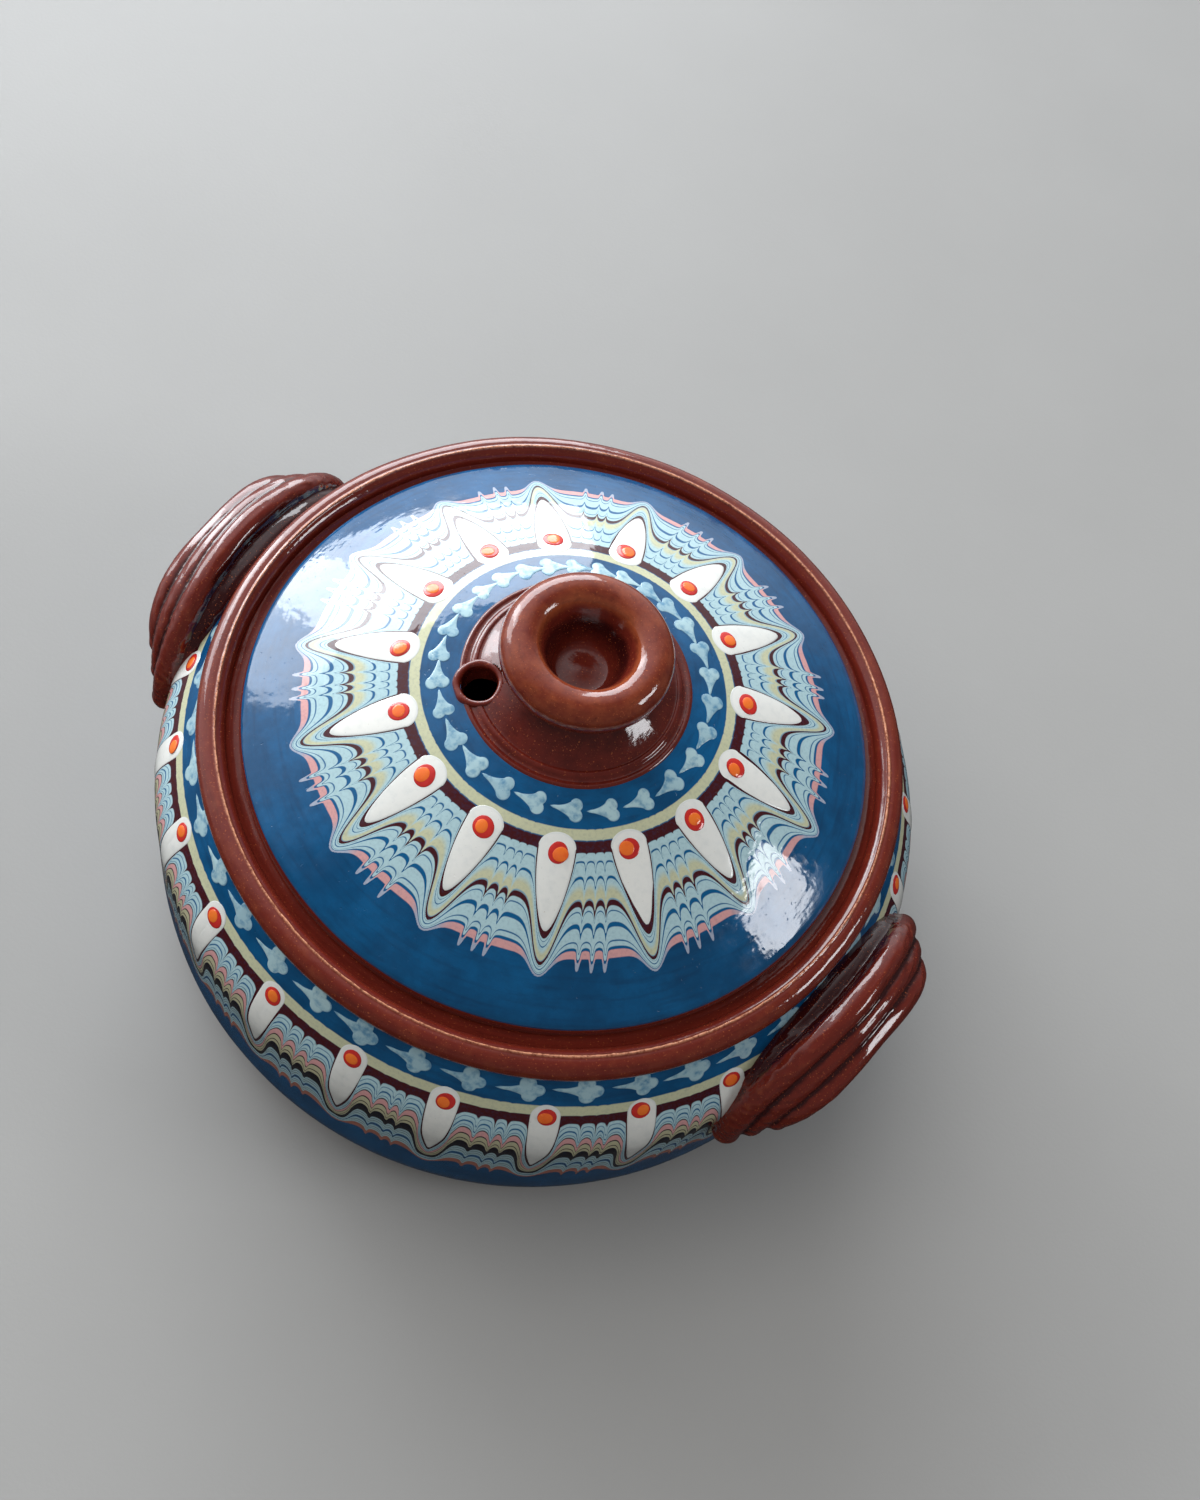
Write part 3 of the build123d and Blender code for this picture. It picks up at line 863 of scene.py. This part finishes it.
# ---- pot: bowl ----
brown = brown_glaze("brown_glaze")
wall_thickness = 8.0
floor_thickness = 9.0
roll_radius = 4.6
roll_turn = np.linspace(-48, 176, 112)  # degrees round the rolled rim, from outside to inside
crest = 0.6 * np.exp(-(((roll_turn - 105) / 4.4) ** 2))  # the ridge that stands on it
rim_roll = np.stack(
    [
        108.5 + (roll_radius + crest) * np.cos(np.radians(roll_turn)),
        rim_top - roll_radius + (roll_radius + crest) * np.sin(np.radians(roll_turn)),
    ],
    axis=1,
)
seat = rim_top - 5.5  # height of the gallery that the lid lies on
# The bowl's profile in legs of (distance from the axis, height), from the underside up the
# outside, over the rim and down the inside.
foot = np.vstack(
    [
        line((0.05, 2.0), (98.5, 2.0), 18),
        line((99.3, 1.8), (100.0, 0.2), 4),
        line((100.8, 0.0), (111.0, 0.0), 8),
        line((112.2, 0.15), (113.6, 1.1), 4),
    ]
)
outside = np.stack(wall_profile(np.linspace(foot_end - 2.5, 0.5, 40), -slip), axis=1)
gallery = np.vstack(
    [
        line((103.3, seat + 0.9), (102.2, seat + 0.2), 4),
        line((101.5, seat), (91.8, seat), 18),
    ]
)
mouth = np.vstack(
    [
        line((91.1, seat - 0.6), (91.0, seat - 5.4), 8),
        line((91.8, seat - 6.3), (106.5, 92.5), 14),
    ]
)
inner_depth = np.linspace(11.5, 92.0, 60)
hollow = np.vstack(
    [
        np.stack(wall_profile(inner_depth, -slip - wall_thickness), axis=1),
        arc((97.0, floor_thickness + 10.0), 10.0, -30, -90, 10),
        line((95.0, floor_thickness), (0.05, floor_thickness), 30),
    ]
)
bowl_legs = [foot, outside, rim_roll, gallery, mouth, hollow]
leg_starts = np.cumsum([0] + [len(leg) for leg in bowl_legs])
outside_start, roll_start, gallery_start, mouth_start, hollow_start = leg_starts[1:6]
bowl_profile = softened(np.vstack(bowl_legs), 2)
bowl_columns = 480
bowl_points = turned(bowl_profile, bowl_columns)
ridge = np.zeros(len(bowl_profile))
ridge[roll_start:gallery_start] = crest
rim_pool = np.zeros(len(bowl_profile))
rim_pool[roll_start:mouth_start] = -0.18  # the glaze lies thinner here
hand = grain(bowl_points, 30.0) * 0.22 + grain(bowl_points, 3.0) * 0.03
hand[:outside_start] = 0
hand += grain(bowl_points, 1.1) * 0.7 * ridge[:, None]
thrown = 0.28 * np.sin(np.arange(len(bowl_profile)) * 1.1)[:, None]  # the thrower's rings
hand[hollow_start:] += thrown[hollow_start:]
bowl_points = bowl_points + facing(bowl_points) * hand[..., None]
bowl_points[..., 2] = np.maximum(bowl_points[..., 2], 0)
add_piece(
    "pot_bowl",
    bowl_points,
    capped(len(bowl_profile), bowl_columns),
    brown,
    "brown_glaze",
    lay=lay_of(bowl_profile, bowl_columns),
    ridge=np.repeat(ridge / ridge.max(), bowl_columns),
    pool=np.repeat(rim_pool, bowl_columns),
    bulge_reach=24,
)

# ---- lid: the hole for steam ----
vent_distance = 29.8
vent_angle = 224.0
hole_radius = 5.5
ring_radius = 7.9
dome_opening = 6.4  # the dome and the collar are open this far round the vent's axis
collar_opening = 6.9
collar_opening_top = 7.5  # above this the knob, which leans over the vent, stays whole
vent_middle = on_lid(np.array(vent_distance), np.array(vent_angle), -slip)
vent_turn = radians(vent_angle)
vent_slope = 2 * lid_rise * vent_distance / lid_radius**2
vent_axis = Vector((cos(vent_turn) * vent_slope, sin(vent_turn) * vent_slope, 1)).normalized()


def from_vent(points):
    """Distance from the vent's axis, and height along it above the lid."""
    offset = points - vent_middle
    height = offset @ np.array(vent_axis)
    return np.linalg.norm(offset - height[..., None] * np.array(vent_axis), axis=-1), height


# ---- lid: dome ----
edge_height = dome_top - slip - lid_rise
dome_share = np.sqrt(np.linspace(0.02, 1, 60))  # distance from the axis, as a share
hollow_height = lid_bottom + (1 - dome_share**2) * lid_hollow
underside = np.stack([93.0 * dome_share, hollow_height], axis=1)
top_share = dome_share[::-1][1:]
top_height = dome_top - slip - lid_rise * top_share**2
topside = np.stack([lid_radius * top_share, top_height], axis=1)
dome_profile = np.vstack(
    [
        underside,
        line((94.0, lid_bottom), (99.0, lid_bottom), 8),
        line((99.8, lid_bottom + 0.7), (100.0, edge_height - 1.4), 6),
        line((99.8, edge_height - 0.5), (99.2, edge_height + 0.35), 3),
        topside,
    ]
)
dome_columns = 480
dome_points = turned(softened(dome_profile, 1), dome_columns)
near, above = from_vent(dome_points)
add_piece(
    "lid_dome",
    dome_points,
    only(woven(len(dome_profile), dome_columns), near > dome_opening),
    brown,
    "brown_glaze",
    lay=lay_of(dome_profile, dome_columns),
)

# ---- lid: knob ----
knob_radius = 26.1
lip_radius = 6.5
lip_middle = (knob_radius - lip_radius, knob_top - lip_radius)
collar = 138.84  # height of the lid's coat at the collar's edge
dish_depth = 17.5
dish_bottom = knob_top - dish_depth
knob_profile = np.vstack(
    [
        line((0.05, collar - 1.6), (34.6, collar - 1.6), 8),
        through(
            [
                (35.3, collar - 0.6),
                (35.6, collar + 0.5),
                (35.0, collar + 1.1),
                (34.3, collar + 1.15),
                (33.6, collar + 0.95),
                (32.7, collar + 1.15),
                (31.9, collar + 1.9),
                (31.0, collar + 2.2),
                (30.2, collar + 2.0),
                (28.6, collar + 2.7),
                (26.0, collar + 4.2),
                (22.4, collar + 6.5),
                (19.4, collar + 9.0),
                (17.7, collar + 11.6),
            ],
            7,
        ),
        arc(lip_middle, lip_radius, -112, 138, 72),
        through(
            [
                (13.2, dish_bottom + 12.2),
                (12.1, dish_bottom + 9.4),
                (10.9, dish_bottom + 6.0),
                (9.6, dish_bottom + 2.6),
                (8.4, dish_bottom + 0.6),
                (6.8, dish_bottom),
                (4.0, dish_bottom + 0.1),
                (1.5, dish_bottom + 0.5),
                (0.05, dish_bottom + 0.7),
            ],
            7,
        ),
    ]
)
knob_profile = softened(knob_profile, 2)
knob_columns = 360
knob_points = turned(knob_profile, knob_columns)
knob_points += facing(knob_points) * (grain(knob_points, 9.0) * 0.12)[..., None]
near, above = from_vent(knob_points)
distance, height = knob_profile.T
# How thick the glaze lies, by height: thin on the lip, and pooled in the dish's side.
outside_pool = np.interp(height - collar, (0.0, 9.0, 20.0, 25.0), (0.1, 0.2, -0.2, -0.3))
dish_pool = np.interp(height - dish_bottom, (0.0, 8.0, 15.0, dish_depth), (-0.2, 0.6, -0.4, -0.3))
in_dish = (distance < 15.0) & (height > collar)
kept = (near > collar_opening) | (above > collar_opening_top)
add_piece(
    "lid_knob",
    knob_points,
    only(woven(len(knob_profile), knob_columns), kept),
    brown,
    "brown_glaze",
    lay=lay_of(knob_profile, knob_columns),
    pool=np.repeat(np.where(in_dish, dish_pool, outside_pool), knob_columns),
    bulge_reach=40,
)

# ---- lid: ring round the hole, its heights taken from the lid along the vent's axis ----
ring_profile = np.vstack(
    [
        line((ring_radius + 1.6, -6.9), (ring_radius + 1.6, -1.6), 6),
        line((ring_radius + 1.4, -0.9), (ring_radius + 0.1, 0.2), 5),
        arc((ring_radius - 1.15, 0.6), 1.15, 10, 150, 20),
        line((hole_radius + 0.1, 0.4), (hole_radius - 0.2, -6.0), 16),
        line((hole_radius + 0.2, -6.9), (ring_radius - 0.5, -7.0), 4),
    ]
)
ring_profile = softened(np.vstack([ring_profile, ring_profile[:1]]), 1)
ring_columns = 120
ring_points = turned(ring_profile, ring_columns)
ring_points += facing(ring_points) * (grain(ring_points, 5.0) * 0.45)[..., None]
tip_over = np.array(vent_axis.to_track_quat("Z", "Y").to_matrix())
ring_points = ring_points @ tip_over.T + vent_middle
add_piece(
    "lid_vent_ring",
    ring_points,
    woven(len(ring_profile), ring_columns),
    brown,
    "brown_glaze",
    lay=lay_of(ring_profile, ring_columns),
    bulge_reach=10,
)


# ---- pot: handles ----
def evenly_meshed(node, cell, passes):
    """Points in millimetres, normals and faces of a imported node's shape, in a softened mesh
    with cells of one size."""
    carrier = bpy.data.objects.new("carrier", frame["nodes"][node].data.copy())
    bpy.context.scene.collection.objects.link(carrier)
    even = carrier.modifiers.new("even", "REMESH")
    even.mode = "VOXEL"
    even.voxel_size = cell * MM
    soft = carrier.modifiers.new("soft", "SMOOTH")
    soft.factor = 0.5
    soft.iterations = passes
    bpy.context.view_layer.update()
    graph = bpy.context.evaluated_depsgraph_get()
    mesh = bpy.data.meshes.new_from_object(carrier.evaluated_get(graph))
    bpy.data.objects.remove(carrier)
    points = np.empty(len(mesh.vertices) * 3, np.float32)
    mesh.vertices.foreach_get("co", points)
    normals = np.empty(len(mesh.vertices) * 3, np.float32)
    mesh.vertex_normals.foreach_get("vector", normals)
    faces = [list(face.vertices) for face in mesh.polygons]
    return points.reshape(-1, 3).astype(float) / MM, normals.reshape(-1, 3), faces


for node in ("handle_right", "handle_left"):
    points, normals, faces = evenly_meshed(node, cell=0.5, passes=3)
    distance = np.hypot(points[:, 0], points[:, 1])
    side = np.arctan2(points[:, 1], np.abs(points[:, 0]))
    lay = np.stack([distance, side * distance * 0.06, points[:, 2]], axis=1)  # along the ribs
    marks = grain(lay, 1.7) * 0.18 + grain(points, 12.0) * 0.2
    points = points + normals * marks[:, None]
    pool = 1 - 0.85 * smoothstep(distance, 119.0, 124.0)  # painted shade behind the ribs, for the lug's shadow under the rim
    add_piece(node, points, faces, brown, "brown_glaze", lay=lay, bulge_reach=30, pool=pool)

# ---- stage, light and camera ----
floor_mesh = bpy.data.meshes.new("floor")
floor_corners = [(-4, -4, 0), (4, -4, 0), (4, 4, 0), (-4, 4, 0)]  # metres
floor_mesh.from_pydata(floor_corners, [], [(0, 1, 2, 3)])
floor = bpy.data.objects.new("floor", floor_mesh)
bpy.context.scene.collection.objects.link(floor)
paper = Recipe("floor")
cloud = paper.noise(120.0, detail=5.0)
paper.feed(
    Base_Color=paper.mix(cloud, (0.32, 0.315, 0.305), (0.36, 0.355, 0.345)),
    Roughness=0.55,
    Normal=paper.bump(paper.noise(1.5, detail=4.0), 0.05),
)
floor_mesh.materials.append(paper.material)
floor.visible_glossy = False  # a pale floor mirrored in the wall would veil its pattern


window_distance = 2.2  # metres


def window(name, place, size, radiance, colour, mirrored=True):
    """A rectangle of light whose place (azimuth, elevation) and size (wide, tall) are angles
    in degrees, seen from the pot. The glaze mirrors it or not."""
    turn, lift = radians(place[0]), radians(place[1])
    toward = Vector((cos(turn) * cos(lift), sin(turn) * cos(lift), sin(lift)))
    lamp = bpy.data.lights.new(name, "AREA")
    lamp.shape = "RECTANGLE"
    lamp.size = window_distance * radians(size[0])
    lamp.size_y = window_distance * radians(size[1])
    lamp.energy = radiance * pi * lamp.size * lamp.size_y
    lamp.color = colour
    holder = bpy.data.objects.new(name, lamp)
    bpy.context.scene.collection.objects.link(holder)
    holder.location = toward * window_distance + Vector((0, 0, 0.1))
    holder.rotation_mode = "QUATERNION"
    holder.rotation_quaternion = toward.to_track_quat("Z", "Y")
    holder.visible_glossy = mirrored


def room(toward, dim, bright, colour):
    """A world that is brightest towards one direction, and dark below the horizon, where the
    glaze would mirror a table."""
    world = bpy.data.worlds.new("room")
    world.use_nodes = True
    tree = world.node_tree
    looking = tree.nodes.new("ShaderNodeTexCoord").outputs["Generated"]

    def along(direction, low, high, at_low, at_high):
        """A number that grows as the view turns towards a direction, while the cosine of the
        angle between them goes from low to high."""
        aligned = tree.nodes.new("ShaderNodeVectorMath")
        aligned.operation = "DOT_PRODUCT"
        aligned.inputs[1].default_value = direction
        tree.links.new(looking, aligned.inputs[0])
        grown = tree.nodes.new("ShaderNodeMapRange")
        grown.interpolation_type = "SMOOTHSTEP"
        for place, value in enumerate((low, high, at_low, at_high), start=1):
            grown.inputs[place].default_value = value
        tree.links.new(aligned.outputs["Value"], grown.inputs["Value"])
        return grown.outputs["Result"]

    strength = tree.nodes.new("ShaderNodeMath")
    strength.operation = "MULTIPLY"
    tree.links.new(along(toward, 0.1, 1.0, dim, bright), strength.inputs[0])
    tree.links.new(along((0, 0, 1), -0.35, 0.0, 0.25, 1.0), strength.inputs[1])
    background = tree.nodes["Background"]
    background.inputs["Color"].default_value = (*colour, 1.0)
    tree.links.new(strength.outputs[0], background.inputs["Strength"])
    return world


window("window_bright", (172, 17), (30, 26), 4.6, (0.92, 0.96, 1.0))
window("window_wide", (143, 22), (56, 36), 6.2, (0.90, 0.95, 1.0))
window("ceiling", (230, 68), (60, 50), 1.7, (1.0, 0.99, 0.97), mirrored=False)
window("window_far", (24, 29), (18, 13), 10.0, (0.95, 0.97, 1.0))
window_side = (-0.85, 0.50, 0.17)
bpy.context.scene.world = room(window_side, dim=0.11, bright=1.3, colour=(0.95, 0.97, 1.0))

bpy.context.scene.view_settings.view_transform = "Standard"

camera_data = bpy.data.cameras.new("camera")
camera_data.lens = 41.8
camera_data.sensor_width = 36.0
camera = bpy.data.objects.new("camera", camera_data)
bpy.context.scene.collection.objects.link(camera)
camera.location = Vector((90.12, -246.87, 593.52)) * MM
azimuth, elevation, camera_roll = radians(17.02), radians(61.78), radians(21.43)
back = Vector((sin(azimuth) * cos(elevation), -cos(azimuth) * cos(elevation), sin(elevation)))
camera.rotation_mode = "QUATERNION"
camera.rotation_quaternion = back.to_track_quat("Z", "Y") @ Quaternion((0, 0, 1), camera_roll)
bpy.context.scene.camera = camera

bpy.context.view_layer.update()
